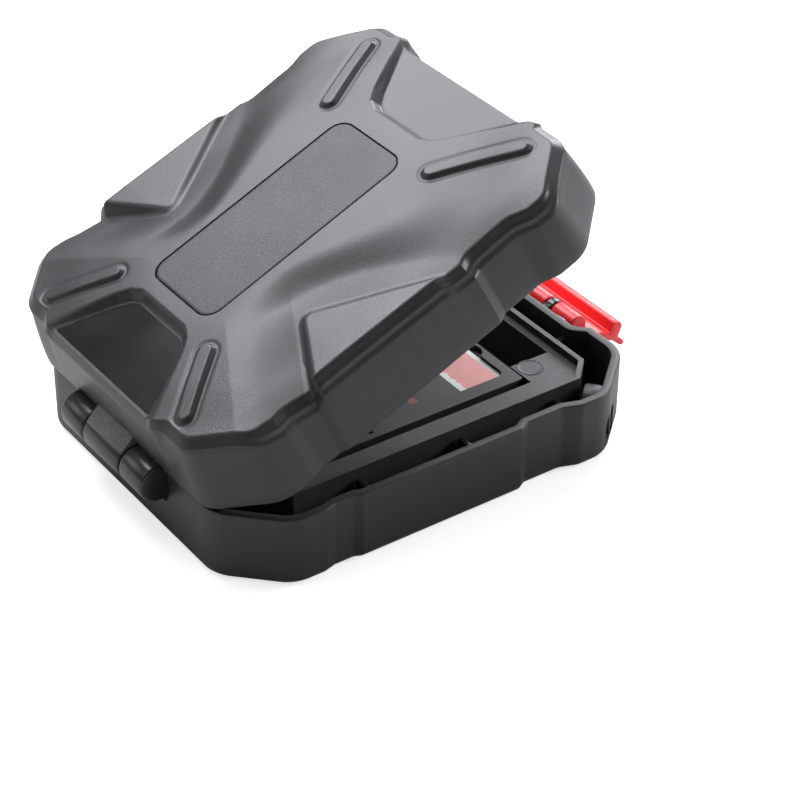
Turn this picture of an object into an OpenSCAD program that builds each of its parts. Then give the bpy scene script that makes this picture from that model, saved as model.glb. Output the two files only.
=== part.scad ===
// Hinged hard case for memory cards, shown with its lid ajar and its latch
// swung open. Millimetres, +Z up, the base lies on z = 0, +X runs from the
// hinge end to the latch end.

/* [Case outline] */
// Middle of the case to the outside of the hinge end wall
hinge_wall_x = 54.9; // [52:0.1:66]
// Middle of the case to the outside of the latch end wall, between its corners
latch_wall_x = 56; // [54:0.1:68]
// How far the two latch end corners stand proud of that wall
latch_corner_proud = 3.1; // [2:0.1:4]
// Half of the width over the long sides
side_y = 48.9; // [46:0.1:60]
// Size of the cut corners at the hinge end
hinge_corner_cut = 13.3; // [9:0.1:16]
// Size of the cut corners at the latch end
latch_corner_cut = 12.8; // [9:0.1:16]
// Depth of the shallow scallop near the hinge corners
scallop_small = 0.8; // [0.4:0.1:1.6]
// Depth of the deeper scallop near the latch corners
scallop_large = 1.5; // [0.8:0.1:2.2]
// Rounding of the cut corners
corner_round = 5; // [2:0.1:7]

/* [Base] */
// Height of the base rim over the table
base_height = 18; // [15:0.1:24]
// Thickness of the base wall
base_wall = 2.2; // [1.6:0.1:3]
// Thickness of the base floor
base_floor = 2; // [1.2:0.1:3]
// Bevel round the bottom edge
bottom_bevel = 1.4; // [0.5:0.1:2.5]
// Thickness of the small ribs across the channel
channel_rib = 1; // [0.6:0.1:1.6]
// Width of the cord slot in the corner
cord_slot_width = 6.4; // [4:0.1:8]
// Height of the cord slot
cord_slot_height = 7; // [4:0.1:9]
// Height of the lower edge of the cord slot
cord_slot_z = 2.6; // [2:0.1:5]
// Thickness of the upright bar in the cord slot
cord_bar = 1.4; // [1:0.1:2.4]

/* [Inner tray] */
// Length of the tray over its lip
tray_length = 91.2; // [88:0.1:94]
// Half of the width of the tray over its lip
tray_half_width = 39.6; // [36:0.1:41]
// Cut of the tray corners
tray_corner_cut = 5.6; // [3:0.1:9]
// Thickness of the raised tray lip
tray_lip = 1.3; // [0.8:0.1:2]
// How far the lip stays under the base rim
tray_lip_drop = 0.5; // [0.2:0.1:2]
// Height of the lip over the tray top
tray_lip_height = 1.8; // [0.8:0.1:3]
// Thickness of the tray floor
tray_floor = 1.6; // [1:0.1:2.5]
// Half of the width of the well in the tray
well_half_width = 32.4; // [31:0.1:34]
// Latch end of the well
well_latch_x = 34.9; // [34.6:0.1:37]
// Hinge end of the well
well_hinge_x = 24.9; // [24.6:0.1:27]
// Length of the finger pockets at both ends of the well
pocket_length = 11; // [7:0.1:12]
// Half of the width of the finger pockets
pocket_half_width = 24.6; // [18:0.1:27]
// Depth of the side shelves under the tray top
shelf_depth = 6.3; // [5:0.1:8]
// Width of the side shelves
shelf_width = 5; // [4:0.1:7]

/* [Card holder] */
// Gap between the card holder and the long sides of the well
holder_side_gap = 2.4; // [1:0.1:3]
// Gap between the card holder and the ends of the well
holder_end_gap = 0.4; // [0.3:0.1:0.8]
// Thickness of the card holder
holder_height = 5.9; // [4:0.1:6]
// Play round each card in its recess
card_play = 0.3; // [0.2:0.05:0.6]

/* [Memory card] */
// Long side of the memory card
card_length = 32; // [31:0.1:33]
// Short side of the memory card
card_width = 24; // [23:0.1:25]
// Thickness of the memory card
card_thickness = 2.1; // [1.4:0.1:2.4]

/* [Lid] */
// Gap between the lid rim and the base rim when the case is shut
rim_gap = 0.3; // [0.2:0.05:0.8]
// Height of the lid from its rim to its flat middle
lid_height = 21.3; // [18:0.1:28]
// Thickness of the lid wall and roof
lid_wall = 2.2; // [1.8:0.1:3]
// How far the lid wall leans in over its upright part
lid_lean = 1.8; // [0.8:0.1:3]
// Angle at which the lid stands ajar
lid_ajar = 23.7; // [5:0.1:60]
// Half length of the flat middle of the lid
plateau_half_length = 32; // [30:0.1:36]
// Half width of the flat middle of the lid
plateau_half_width = 15; // [13.5:0.1:18]
// Drop of the lid top from the middle to the edge in the valleys
valley_drop = 3.4; // [2:0.1:5]
// Depth of the valleys just beside the flat middle
valley_dip = 2.1; // [1.2:0.1:2.6]
// Drop of the lid top from the middle to the corners along the arms
arm_drop = 1.9; // [1:0.1:3]
// Middle of the case to the inner end of the sunk panel at the hinge end
hinge_panel_end = 31.9; // [31.5:0.1:36]
// Half of the width of that inner end
hinge_panel_neck = 9.4; // [6:0.1:11]
// Half of the width of the same panel at its outer edge
hinge_panel_half = 24.2; // [20:0.1:26]
// Middle of the case to the inner end of the sunk panel at the latch end
latch_panel_end = 35.1; // [34:0.1:40]
// Half of the width of that inner end
latch_panel_neck = 9; // [6:0.1:11]
// Half of the width of the same panel at its outer edge
latch_panel_half = 24; // [20:0.1:26]
// Depth of the two sunk end panels
panel_sink = 2.2; // [1.2:0.1:2.4]
// Fall of the sunk panels from their inner to their outer end
panel_drop = 0.7; // [0.4:0.1:1]
// Thickness of the two end panels
panel_thickness = 0.9; // [0.5:0.1:1.2]
// Depth of the tongue that drops in the base channel
tongue_depth = 2.6; // [1:0.1:4]

/* [Label plate] */
// Length of the blank label plate
label_length = 56.8; // [40:0.1:58]
// Width of the blank label plate
label_width = 24.4; // [16:0.1:26]
// Corner rounding of the label plate
label_round = 4; // [1:0.1:7]
// Thickness of the label plate
label_thickness = 1; // [0.5:0.1:1.4]
// Gap round the label plate
label_gap = 0.3; // [0.15:0.05:0.5]

/* [Hinge] */
// Distance from the hinge end wall out to the hinge pin
hinge_out = 2.2; // [1.6:0.1:3]
// Drop from the base rim to the hinge pin
hinge_drop = 1.9; // [1.2:0.1:3]
// Radius of the hinge barrel
barrel_r = 4.8; // [4:0.1:5.5]
// Half of the length of the hinge barrel
barrel_half = 18.1; // [14:0.1:19]
// Half of the length of the middle knuckle
knuckle_half = 7.9; // [5:0.1:9]
// Gap between the knuckles
knuckle_gap = 0.3; // [0.2:0.05:0.6]
// Radius of the hinge pin
pin_r = 1; // [0.8:0.05:1.5]
// Running clearance round the pins
pin_play = 0.05; // [0.02:0.01:0.09]

/* [Latch] */
// Distance from the latch end wall out to the latch pin
latch_out = 2.9; // [2.8:0.1:3.5]
// Drop from the base rim to the latch pin
latch_drop = 2; // [1.6:0.1:3]
// Radius of the latch knuckles
latch_knuckle_r = 2.55; // [2.2:0.05:2.6]
// Half of the width of the latch
latch_half = 22.4; // [20.5:0.1:23]
// Thickness of the latch plate
latch_plate = 2.2; // [1.6:0.1:3]
// Distance from the latch pin to the holding face of the hook
hook_reach = 9.4; // [8:0.1:12]
// Thickness of the hook
hook_thickness = 3; // [2:0.1:4]
// Angle by which the latch is swung open
latch_open = 112; // [60:1:125]
// Radius of the latch pin
latch_pin_r = 0.9; // [0.7:0.05:1.2]
// Half of the length of the middle latch knuckle
latch_mid_half = 9; // [6:0.1:10]
// Thickness of each base lug
lug_thickness = 2.4; // [1.8:0.1:3]
// Outer end of the outer latch knuckles
latch_outer_end = 20; // [18:0.1:20]

/* [Hidden] */
$fn = 48;
eps = 0.01;
lid_z = base_height + rim_gap;
lid_top = lid_z + lid_height;
latch_corner_x = latch_wall_x + latch_corner_proud;
pin_x = -hinge_wall_x - hinge_out;
pin_z = base_height - hinge_drop;
barrel_clear = barrel_r + 0.4;
shield_r = barrel_clear + 1.4;
latch_x = latch_wall_x + latch_out;
latch_z = base_height - latch_drop;
lug_in = latch_mid_half + 0.3;
lug_out = lug_in + lug_thickness;
outer_in = lug_out + 0.3;
tray_bottom = base_floor + 0.3;
tray_top = base_height - tray_lip_drop - tray_lip_height;
tray_latch_x = latch_wall_x - base_wall - 4.4;
tray_hinge_x = tray_latch_x - tray_length;
well_floor = tray_bottom + tray_floor;
shelf_z = tray_top - shelf_depth;
holder_y = well_half_width - holder_side_gap;
holder_x0 = -well_hinge_x + holder_end_gap;
holder_x1 = well_latch_x - holder_end_gap;
holder_z = shelf_z + 0.3;
holder_top = holder_z + holder_height;
card_depth = card_thickness + 0.7;
card_x1 = holder_x1 - 2.8;
card_y1 = -1.8;
tongue_in = base_wall + 1;

black = [0.10, 0.10, 0.11];
grey = [0.20, 0.20, 0.21];
red = [0.80, 0.08, 0.10];
steel = [0.62, 0.62, 0.64];

// Plain helpers for outlines made of corner points [x, y, rounding].
function unit(v) = v / norm(v);
function left_of(v) = [-v[1], v[0]];
function flat(p) = [p[0], p[1]];

// Outline moved in by d on every side, with the roundings kept parallel.
function moved_in(points, d) =
    let (n = len(points))
    [for (i = [0 : n - 1])
        let (here = flat(points[i]))
        let (u = unit(here - flat(points[(i + n - 1) % n])))
        let (v = unit(flat(points[(i + 1) % n]) - here))
        let (k = d / (1 + left_of(u) * left_of(v)))
        let (bend = cross(u, v) > 0 ? -d : d)
        let (p = here + k * (left_of(u) + left_of(v)))
        [p[0], p[1], max(0.2, points[i][2] + bend)]];

// Corner points turned in a smooth outline.
function smooth(points, steps = 4) =
    let (n = len(points))
    [for (i = [0 : n - 1])
        let (here = flat(points[i]))
        let (u = unit(here - flat(points[(i + n - 1) % n])))
        let (v = unit(flat(points[(i + 1) % n]) - here))
        let (bend = acos(max(-1, min(1, u * v))))
        let (side = cross(u, v) > 0 ? 1 : -1)
        let (r = points[i][2])
        let (start = here - u * r * tan(bend / 2))
        let (centre = start + side * r * left_of(u))
        for (k = [0 : steps])
            let (a = side * bend * k / steps)
            let (q = start - centre)
            centre + [q[0] * cos(a) - q[1] * sin(a), q[0] * sin(a) + q[1] * cos(a)]];

// Half outline on the far side, from the latch end round to the hinge end.
function case_half() = [
    [latch_wall_x, 21.6, 2],
    [latch_corner_x, 24.7, 2],
    [latch_corner_x, side_y + 0.3 - latch_corner_cut, corner_round],
    [latch_corner_x - latch_corner_cut * 1.13, side_y + 0.3, corner_round],
    [37, side_y + 0.3, 4],
    [32.5, side_y - scallop_large + 0.1, 4],
    [22.2, side_y - scallop_large + 0.1, 1.2],
    [19.8, side_y, 1.2],
    [-23.8, side_y, 1.2],
    [-25.6, side_y - scallop_small, 1.2],
    [-30.5, side_y - scallop_small, 2],
    [-33.5, side_y, 2],
    [hinge_corner_cut - hinge_wall_x, side_y, corner_round],
    [-hinge_wall_x, side_y - hinge_corner_cut, corner_round]];

function mirrored(points) =
    [for (i = [len(points) - 1 : -1 : 0]) [points[i][0], -points[i][1], points[i][2]]];

case_points = concat(case_half(), mirrored(case_half()));

module case_plan(d) {
    polygon(smooth(moved_in(case_points, d)));
}

module slice(z, d) {
    translate([0, 0, z])
        linear_extrude(eps)
            case_plan(d);
}

// A round bar lying along Y.
module bar_y(x, z, r, y0, y1) {
    translate([x, y0, z])
        rotate([-90, 0, 0])
            cylinder(h = y1 - y0, r = r);
}

// A flat XZ shape pulled along Y.
module pulled_y(y0, y1, points) {
    translate([0, y1, 0])
        rotate([90, 0, 0])
            linear_extrude(y1 - y0)
                polygon(points);
}

module both_sides() {
    children();
    mirror([0, 1, 0])
        children();
}

// Octagon of the tray, moved in by d.
function tray_points(d) =
    let (c = tray_corner_cut)
    moved_in([
        [tray_latch_x, -tray_half_width + c, 0.8],
        [tray_latch_x, tray_half_width - c, 0.8],
        [tray_latch_x - c, tray_half_width, 0.8],
        [tray_hinge_x + c, tray_half_width, 0.8],
        [tray_hinge_x, tray_half_width - c, 0.8],
        [tray_hinge_x, -tray_half_width + c, 0.8],
        [tray_hinge_x + c, -tray_half_width, 0.8],
        [tray_latch_x - c, -tray_half_width, 0.8]], d);

module tray_plan(d) {
    polygon(smooth(tray_points(d), 3));
}

// Memory card seen from above, its contact end at low x.
function card_points(d) =
    moved_in([
        [card_x1 - card_length + 4, card_y1 - card_width, 0.8],
        [card_x1, card_y1 - card_width, 1.6],
        [card_x1, card_y1, 1.6],
        [card_x1 - card_length, card_y1, 0.8],
        [card_x1 - card_length, card_y1 - card_width + 4, 0.8]], d);

// Frame of the cord slot: the middle of the near latch corner cut.
slot_a = [latch_corner_x, -(side_y + 0.3 - latch_corner_cut)];
slot_b = [latch_corner_x - latch_corner_cut * 1.13, -(side_y + 0.3)];
slot_mid = slot_a * 0.68 + slot_b * 0.32;
slot_turn = atan2(slot_a[1] - slot_b[1], slot_a[0] - slot_b[0]);

module at_slot() {
    translate([slot_mid[0], slot_mid[1], 0])
        rotate([0, 0, slot_turn])
            children();
}

// Base: an open box with a bevelled foot, hinge knuckles and latch lugs.
module base_shell() {
    color(grey)
    difference() {
        union() {
            difference() {
                intersection() {
                    linear_extrude(base_height)
                        case_plan(0);
                    hull() {
                        slice(0, bottom_bevel);
                        translate([0, 0, bottom_bevel])
                            linear_extrude(base_height - bottom_bevel)
                                case_plan(0);
                    }
                }
                translate([0, 0, base_floor])
                    linear_extrude(base_height)
                        case_plan(base_wall);
            }
            // Curved wall that keeps the case shut behind the lid knuckle
            intersection() {
                bar_y(pin_x, pin_z, shield_r, -knuckle_half - 1.5, knuckle_half + 1.5);
                linear_extrude(base_height)
                    case_plan(0);
            }
            // Outer knuckles with a flat root on the wall
            both_sides() {
                bar_y(pin_x, pin_z, barrel_r, knuckle_half + knuckle_gap, barrel_half);
                translate([pin_x, knuckle_half + knuckle_gap, pin_z - barrel_r])
                    cube([hinge_out + 0.6, barrel_half - knuckle_half - knuckle_gap,
                          barrel_r + hinge_drop]);
            }
            // Thin ledge under the barrel
            translate([-hinge_wall_x - 0.9, -barrel_half - 1.2, pin_z - barrel_r - 1.3])
                cube([1.5, 2 * barrel_half + 2.4, 1]);
            // Lugs for the latch pin
            both_sides() {
                bar_y(latch_x, latch_z, latch_knuckle_r, lug_in, lug_out);
                translate([latch_wall_x - 1, lug_in, latch_z - latch_knuckle_r])
                    cube([latch_out + 1, lug_thickness, latch_knuckle_r + latch_drop]);
                translate([latch_wall_x - 1, 15.2, base_height - 3.4])
                    cube([1.25, 3.4, 3.4]);
            }
            // Ribs across the channel
            both_sides() {
                translate([tray_latch_x + 0.4, 20, base_floor - eps])
                    cube([latch_wall_x - base_wall - tray_latch_x, channel_rib, 13]);
                for (x = [-20, 8, 35])
                    translate([x, tray_half_width + 0.4, base_floor - eps])
                        cube([channel_rib, side_y - base_wall - tray_half_width - 0.4, 13]);
            }
            // Rounded housing behind the cord slot
            intersection() {
                linear_extrude(base_height)
                    case_plan(0);
                at_slot()
                    union() {
                        translate([-cord_slot_width / 2 - 1.6, 0, 0])
                            cube([cord_slot_width + 3.2, 6.8, 10.4]);
                        translate([0, 0, 10.4])
                            rotate([-90, 0, 0])
                                cylinder(h = 6.8, r = cord_slot_width / 2 + 1.6);
                    }
            }
        }
        // Room for the lid knuckle
        bar_y(pin_x, pin_z, barrel_clear, -knuckle_half - knuckle_gap, knuckle_half + knuckle_gap);
        bar_y(pin_x, pin_z, pin_r + pin_play, -barrel_half - 1, barrel_half + 1);
        both_sides()
            bar_y(latch_x, latch_z, latch_pin_r + pin_play, lug_in - 1, lug_out + 1);
        // Cord slot with an upright bar left standing in it
        at_slot()
            difference() {
                translate([-cord_slot_width / 2, -2, cord_slot_z])
                    cube([cord_slot_width, 7.2, cord_slot_height]);
                translate([cord_slot_width / 2 - 1.1 - cord_bar, 0.1, cord_slot_z - 1])
                    cube([cord_bar, 1.5, cord_slot_height + 2]);
            }
    }
}

// Small card recess with a round thumb notch, opened towards high x.
module small_card_recess(y) {
    translate([-22.4, y - 5.7, 0])
        cube([15.4, 11.4, 10]);
    translate([-7.4, y, 0])
        cylinder(h = 10, r = 5);
}

// Tray: an eight sided tub with a raised lip and a stepped well.
module base_tray() {
    color(grey)
    difference() {
        union() {
            translate([0, 0, tray_bottom])
                linear_extrude(tray_top - tray_bottom)
                    tray_plan(0);
            translate([0, 0, tray_bottom])
                linear_extrude(tray_top + tray_lip_height - tray_bottom)
                    difference() {
                        tray_plan(0);
                        tray_plan(tray_lip);
                    }
        }
        // Hollow underside round the well, open at the bottom
        translate([0, 0, tray_bottom - 1])
            linear_extrude(tray_top - tray_bottom - 1)
                difference() {
                    tray_plan(2);
                    square([2 * (well_latch_x + pocket_length) + 4, 2 * well_half_width + 4],
                           center = true);
                }
        // Well down to the side shelves
        translate([-well_hinge_x, -well_half_width, shelf_z])
            cube([well_hinge_x + well_latch_x, 2 * well_half_width, shelf_depth + 5]);
        // Lower well between the shelves
        difference() {
            translate([-well_hinge_x, -well_half_width + shelf_width, well_floor])
                cube([well_hinge_x + well_latch_x, 2 * (well_half_width - shelf_width), 20]);
            // Raised floor with two small card recesses
            translate([0, 0, well_floor - 1])
                difference() {
                    linear_extrude(4)
                        polygon(smooth([
                            [-well_hinge_x - 1, -20, 0.2],
                            [-1.5, -20, 3],
                            [-3, 0, 20],
                            [-1.5, 20, 3],
                            [-well_hinge_x - 1, 20, 0.2]], 5));
                    translate([0, 0, 2.8]) {
                        small_card_recess(-9.4);
                        small_card_recess(9.4);
                    }
                }
        }
        // Finger pockets at both ends
        translate([well_latch_x - 1, -pocket_half_width, well_floor])
            cube([pocket_length + 1, 2 * pocket_half_width, 20]);
        translate([-well_hinge_x - pocket_length, -pocket_half_width, well_floor])
            cube([pocket_length + 1, 2 * pocket_half_width, 20]);
        // Long slots beside the shelves
        both_sides()
            translate([-5.6, well_half_width - shelf_width - 2.2, well_floor - 0.8])
                cube([19, 1.6, 2]);
        // Fine outline of one large card on the floor
        translate([0, 0, well_floor - 0.35])
            linear_extrude(2)
                difference() {
                    polygon(floor_card(0));
                    polygon(floor_card(0.4));
                }
    }
}

// Outline of the large card engraved on the well floor, moved in by d.
function floor_card(d) =
    [for (p = moved_in([
        [9.6, -11.4, 0],
        [14.2, -16, 0],
        [33.6, -16, 0],
        [33.6, -7.2, 0],
        [32.9, -7.2, 0],
        [32.9, 1.4, 0],
        [33.6, 1.4, 0],
        [33.6, 16, 0],
        [9.6, 16, 0]], d)) flat(p)];

// Card holder: a loose plate with two large and four small card recesses.
module card_holder() {
    color(grey)
    difference() {
        translate([0, 0, holder_z])
            linear_extrude(holder_height)
                polygon(smooth([
                    [holder_x0, -holder_y, 0.6],
                    [holder_x1, -holder_y, 0.6],
                    [holder_x1, holder_y, 0.6],
                    [holder_x0, holder_y, 0.6]], 3));
        both_sides() {
            translate([0, 0, holder_top - card_depth])
                linear_extrude(10)
                    polygon(smooth(card_points(-card_play), 4));
            // Push-out holes under the large cards
            translate([card_x1 - card_length / 2, card_y1 - card_width / 2, 0])
                cylinder(h = 30, r = 5.5);
            // Thumb scoops at the latch end
            translate([card_x1 - 1, card_y1 - card_width / 2, holder_top - 1.2])
                cylinder(h = 5, r = 3.2);
            for (y = [-22.4, -8.6])
                translate([holder_x0 + 2.4, y - 5.75, holder_top - 1.4])
                    cube([15.3, 11.5, 5]);
        }
    }
}

// Memory card with its cut corner, a stepped edge and sunk contact bays.
module sd_card() {
    color(black)
    translate([0, 0, holder_top - card_depth + 0.02])
    difference() {
        linear_extrude(card_thickness)
            polygon(smooth(card_points(0), 4));
        // Step along both long edges under the label
        translate([card_x1 - card_length - 1, card_y1 - 0.7, -1])
            cube([card_length + 2, 2, 1.7]);
        translate([card_x1 - card_length - 1, card_y1 - card_width - 1.3, -1])
            cube([card_length + 2, 2, 1.7]);
        // Lock notch
        translate([card_x1 - card_length + 8, card_y1 - 0.5, -1])
            cube([4.4, 2, 2.2]);
        // Contact bays on the underside
        for (i = [0 : 7])
            translate([card_x1 - card_length + 1, card_y1 - 3.4 - 2.45 * i, -1])
                cube([4.6, 1.7, 1.6]);
    }
}

// Levels of the lid from its rim up, as plan insets; the roof ends on the
// flat middle. edge is the drop of the roof edge, lift moves the whole roof and
// tuck draws the walls in.
module lid_form(edge, lift, tuck) {
    hull() {
        slice(lid_z - 0.5, tuck);
        slice(lid_z + lid_height * 0.62, lid_lean + max(0, tuck));
        slice(lid_top - edge - 2.2, lid_lean + 0.8 + max(0, tuck));
        slice(lid_top - edge - 0.6, lid_lean + 2 + max(0, tuck));
        slice(lid_top - edge + lift, lid_lean + 3.6 + max(0, tuck));
        translate([0, 0, lid_top - 0.4 + lift])
            linear_extrude(0.4)
                square([2 * plateau_half_length, 2 * plateau_half_width], center = true);
    }
}

// The four arms from the flat middle to the corners, in plan.
module arms_plan() {
    for (s = [-1, 1]) {
        polygon(smooth([
            [-plateau_half_length, -10 * s, 1],
            [-9.5, -14.5 * s, 3],
            [-19.5, -28 * s, 6],
            [-29.5, -50 * s, 3],
            [-40, -50 * s, 3],
            [-52, -40 * s, 3],
            [-53, -25 * s, 3]], 4));
        polygon(smooth([
            [plateau_half_length, -10 * s, 1],
            [14, -14.5 * s, 3],
            [40, -45 * s, 3],
            [52, -42 * s, 3],
            [56, -25 * s, 3]], 4));
    }
    square([2 * plateau_half_length, 2 * plateau_half_width - 2], center = true);
    // The two ends between the arms
    polygon([[-20, -9], [-20, 9], [-52.8, 30], [-52.8, -30]]);
    polygon([[20, -9], [20, 9], [55.8, 30], [55.8, -30]]);
}

// Room above one of the two valleys that run to the long sides.
module valley_room() {
    intersection() {
        translate([0, 0, lid_top - 10])
            linear_extrude(20)
                polygon([[-10, 14.6], [-20, 28.3], [-30, 52], [44, 52], [13.4, 14.6]]);
        valley_profile();
    }
}

// Cross profile of a valley, drawn out along the case.
module valley_profile() {
    translate([-60, 0, 0])
        rotate([90, 0, 90])
            linear_extrude(120)
                polygon(smooth([
                    [plateau_half_width - 0.6, lid_top + 0.3, 0.5],
                    [plateau_half_width + 2.2, lid_top - 0.6, 2],
                    [plateau_half_width + 7, lid_top - valley_dip, 4],
                    [side_y - 3, lid_top - valley_drop + 0.15, 2],
                    [side_y + 6, lid_top - valley_drop + 0.4, 0.5],
                    [side_y + 6, lid_top + 6, 0.5],
                    [plateau_half_width - 0.6, lid_top + 6, 0.5]], 6));
}

// Sunk end panels in plan; d moves the outline in.
module hinge_panel_plan(d) {
    polygon(smooth(moved_in([
        [2.4 - hinge_wall_x, -hinge_panel_half, 1.5],
        [-hinge_panel_end - 0.287 * hinge_panel_neck, -1.553 * hinge_panel_neck, 4],
        [-hinge_panel_end, -hinge_panel_neck, 4],
        [-hinge_panel_end, hinge_panel_neck, 4],
        [-hinge_panel_end - 0.287 * hinge_panel_neck, 1.553 * hinge_panel_neck, 4],
        [2.4 - hinge_wall_x, hinge_panel_half, 1.5]], d)));
}

module latch_panel_plan(d) {
    polygon(smooth(moved_in([
        [latch_wall_x - 3, latch_panel_half, 1.5],
        [latch_panel_end + 0.367 * latch_panel_neck, 1.533 * latch_panel_neck, 4],
        [latch_panel_end, latch_panel_neck, 4],
        [latch_panel_end, -latch_panel_neck, 4],
        [latch_panel_end + 0.367 * latch_panel_neck, -1.533 * latch_panel_neck, 4],
        [latch_wall_x - 3, -latch_panel_half, 1.5]], d)));
}

// A raised rib with round ends from a to b.
module pill(a, b, z0, z1) {
    way = b - a;
    far = norm(way) + 1.9;
    translate([a[0], a[1], z0])
        rotate([0, 0, atan2(way[1], way[0])])
            linear_extrude(z1 - z0)
                polygon(smooth([
                    [-1.9, -1.9, 1.85],
                    [far, -1.9, 1.85],
                    [far, 1.9, 1.85],
                    [-1.9, 1.9, 1.85]], 5));
}

// Everything of the lid turns with it about the hinge pin.
module ajar() {
    translate([pin_x, 0, pin_z])
        rotate([0, -lid_ajar, 0])
            translate([-pin_x, 0, -pin_z])
                children();
}

// Lid: a drafted shell with a crossed roof, tongue, knuckle and catch bar.
module lid_shell() {
    color(black)
    ajar()
    difference() {
        union() {
            difference() {
                union() {
                    difference() {
                        intersection() {
                            translate([0, 0, lid_z])
                                linear_extrude(lid_height + 1)
                                    case_plan(0);
                            lid_form(valley_drop, 0, -0.3);
                        }
                        both_sides()
                            valley_room();
                    }
                    intersection() {
                        translate([0, 0, lid_z + 1])
                            linear_extrude(lid_height)
                                arms_plan();
                        lid_form(arm_drop, 0.01, 0.35);
                    }
                    // Raised pads in the middle of the long sides
                    both_sides()
                        intersection() {
                            translate([0, 0, lid_z + 10])
                                linear_extrude(lid_height)
                                    polygon(smooth([
                                        [-24, 43.6, 1.5],
                                        [-14.6, 27, 3],
                                        [-11, 26.6, 3],
                                        [17.4, 44.6, 1.5]]));
                            lid_form(valley_drop - 0.9, -0.6, 0.25);
                        }
                    // Ribs on the four arms
                    both_sides() {
                        pill([-46.5, 28.9], [-33.4, 19.5], lid_top - 6, lid_top - 0.9);
                        pill([48.6, 29.9], [30.6, 20], lid_top - 6, lid_top - 0.8);
                    }
                }
                // Hollow inside
                intersection() {
                    translate([0, 0, lid_z - 1])
                        linear_extrude(lid_height + 1)
                            case_plan(lid_wall);
                    translate([0, 0, -lid_wall - panel_sink])
                        hull() {
                            slice(lid_z, 2.2);
                            slice(lid_top - valley_drop - 2, lid_lean + 2.6);
                            slice(lid_top - valley_drop, lid_lean + 5);
                            translate([0, 0, lid_top - 0.4])
                                linear_extrude(0.4)
                                    square([2 * plateau_half_length, 2 * plateau_half_width],
                                           center = true);
                        }
                }
                // Sunk end panels follow the slope of the roof
                difference() {
                    translate([0, 0, lid_z + 8])
                        linear_extrude(lid_height) {
                            hinge_panel_plan(0);
                            latch_panel_plan(0);
                        }
                    translate([0, 0, -panel_sink])
                        lid_form(panel_drop, 0, 0);
                }
                // Seat of the label plate
                translate([0, 0, lid_top - label_thickness])
                    linear_extrude(5)
                        label_plan(-label_gap);
            }
            // Tongue round the inside, left out beside the hinge
            difference() {
                translate([0, 0, lid_z - tongue_depth])
                    linear_extrude(tongue_depth + 3)
                        difference() {
                            case_plan(tongue_in);
                            case_plan(tongue_in + 1.4);
                        }
                translate([-hinge_wall_x - 1, -barrel_half - 3, lid_z - 5])
                    cube([12, 2 * barrel_half + 6, 10]);
                both_sides() {
                    translate([tray_latch_x, 19, lid_z - 5])
                        cube([9, 3, 5]);
                    for (x = [-20, 8, 35])
                        translate([x - 1, tray_half_width, lid_z - 5])
                            cube([channel_rib + 2, 9, 5]);
                    at_slot()
                        translate([-6, 0, lid_z - 5])
                            cube([12, 8, 5]);
                }
            }
            // Web that carries the tongue on the wall
            translate([0, 0, lid_z + 1])
                linear_extrude(1.8)
                    difference() {
                        case_plan(lid_wall - 0.6);
                        case_plan(tongue_in + 0.7);
                    }
            // Curved walls over the outer knuckles
            both_sides()
                intersection() {
                    bar_y(pin_x, pin_z, shield_r, knuckle_half - 1.2, barrel_half + 1.8);
                    translate([0, 0, lid_z])
                        linear_extrude(lid_height)
                            case_plan(1);
                }
            // Middle knuckle and the flat strap up to the wall
            bar_y(pin_x, pin_z, barrel_r, -knuckle_half, knuckle_half);
            pulled_y(-knuckle_half, knuckle_half, [
                [pin_x, pin_z],
                [pin_x - barrel_r * 0.62, pin_z + barrel_r * 0.785],
                [-hinge_wall_x + 0.9, lid_z + 6.4],
                [-hinge_wall_x + 0.9, lid_z],
                [-hinge_wall_x, lid_z]]);
            // Catch bar for the latch hook, with a sloped underside
            pulled_y(-13.4, 13.4, [
                [latch_wall_x - 2, lid_z + 2],
                [latch_wall_x - 0.2, lid_z + 2],
                [latch_wall_x + 2.3, lid_z + 4.8],
                [latch_wall_x + 2.3, latch_z + hook_reach - 0.4],
                [latch_wall_x - 2, latch_z + hook_reach - 0.4]]);
        }
        both_sides()
            bar_y(pin_x, pin_z, barrel_clear, knuckle_half, barrel_half + 0.5);
        bar_y(pin_x, pin_z, pin_r + pin_play, -knuckle_half - 1, knuckle_half + 1);
    }
}

module label_plan(d) {
    polygon(smooth(moved_in([
        [-label_length / 2 + 0.4, -label_width / 2, label_round],
        [label_length / 2 + 0.4, -label_width / 2, label_round],
        [label_length / 2 + 0.4, label_width / 2, label_round],
        [-label_length / 2 + 0.4, label_width / 2, label_round]], d)));
}

// Blank label plate, flush with the flat middle of the lid.
module label_plate() {
    color(black)
    ajar()
    translate([0, 0, lid_top - label_thickness + 0.02])
        linear_extrude(label_thickness - 0.02)
            label_plan(0);
}

// One smooth end panel lying on its sunk floor.
module end_panel() {
    intersection() {
        difference() {
            translate([0, 0, lid_z + 6])
                linear_extrude(lid_height)
                    children();
            translate([0, 0, 0.02 - panel_sink])
                lid_form(panel_drop, 0, 0);
        }
        translate([0, 0, panel_thickness - panel_sink])
            lid_form(panel_drop, 0, 0.05);
    }
}

module hinge_panel() {
    color(black)
    ajar()
    end_panel()
        hinge_panel_plan(0.3);
}

module latch_panel() {
    color(black)
    ajar()
    end_panel()
        latch_panel_plan(0.3);
}

module hinge_pin() {
    color(steel)
    bar_y(pin_x, pin_z, pin_r, -barrel_half + 0.4, barrel_half - 0.4);
}

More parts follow.
